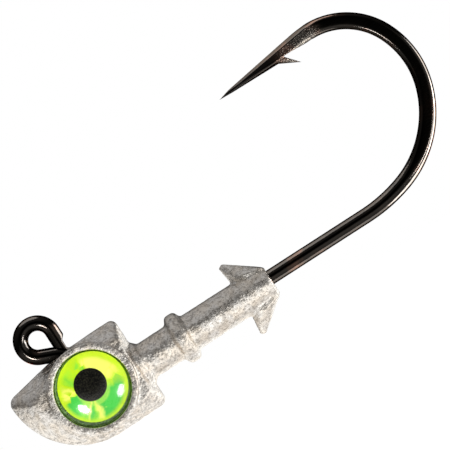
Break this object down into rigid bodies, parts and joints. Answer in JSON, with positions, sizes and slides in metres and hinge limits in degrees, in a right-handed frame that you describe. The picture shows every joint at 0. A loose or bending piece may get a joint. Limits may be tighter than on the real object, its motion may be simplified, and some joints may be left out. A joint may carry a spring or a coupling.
{
  "type": "jig head",
  "caption": "Fish-shaped lead jig head cast on a wide-bend hook, with domed eyes, an upright line-tie ring and a double-barbed bait keeper.",
  "frame": {"origin": "centre of the line-tie ring", "axes": "+X along the hook's shank from the nose to the bend, +Z towards the hook's point, Y across the head; the left eye is at -Y"},
  "size_m": [0.0499, 0.0082, 0.0228],
  "materials": {
    "black_nickel_wire": "black nickel plate over steel wire, glossy",
    "cast_lead": "bare cast lead, satin with fine pits",
    "adhesive": "thin foam adhesive",
    "iris_foil": "yellow-green holographic foil",
    "pupil_print": "black ink",
    "clear_lens": "clear poured resin, glossy"
  },
  "bodies": {
    "root": {"hook": "black_nickel_wire", "head_casting": "cast_lead", "adhesive_pad_left": "adhesive", "adhesive_pad_right": "adhesive", "iris_foil_left": "iris_foil", "iris_foil_right": "iris_foil", "pupil_print_left": "pupil_print", "pupil_print_right": "pupil_print", "eye_lens_left": "clear_lens", "eye_lens_right": "clear_lens"}
  },
  "joints": []
}
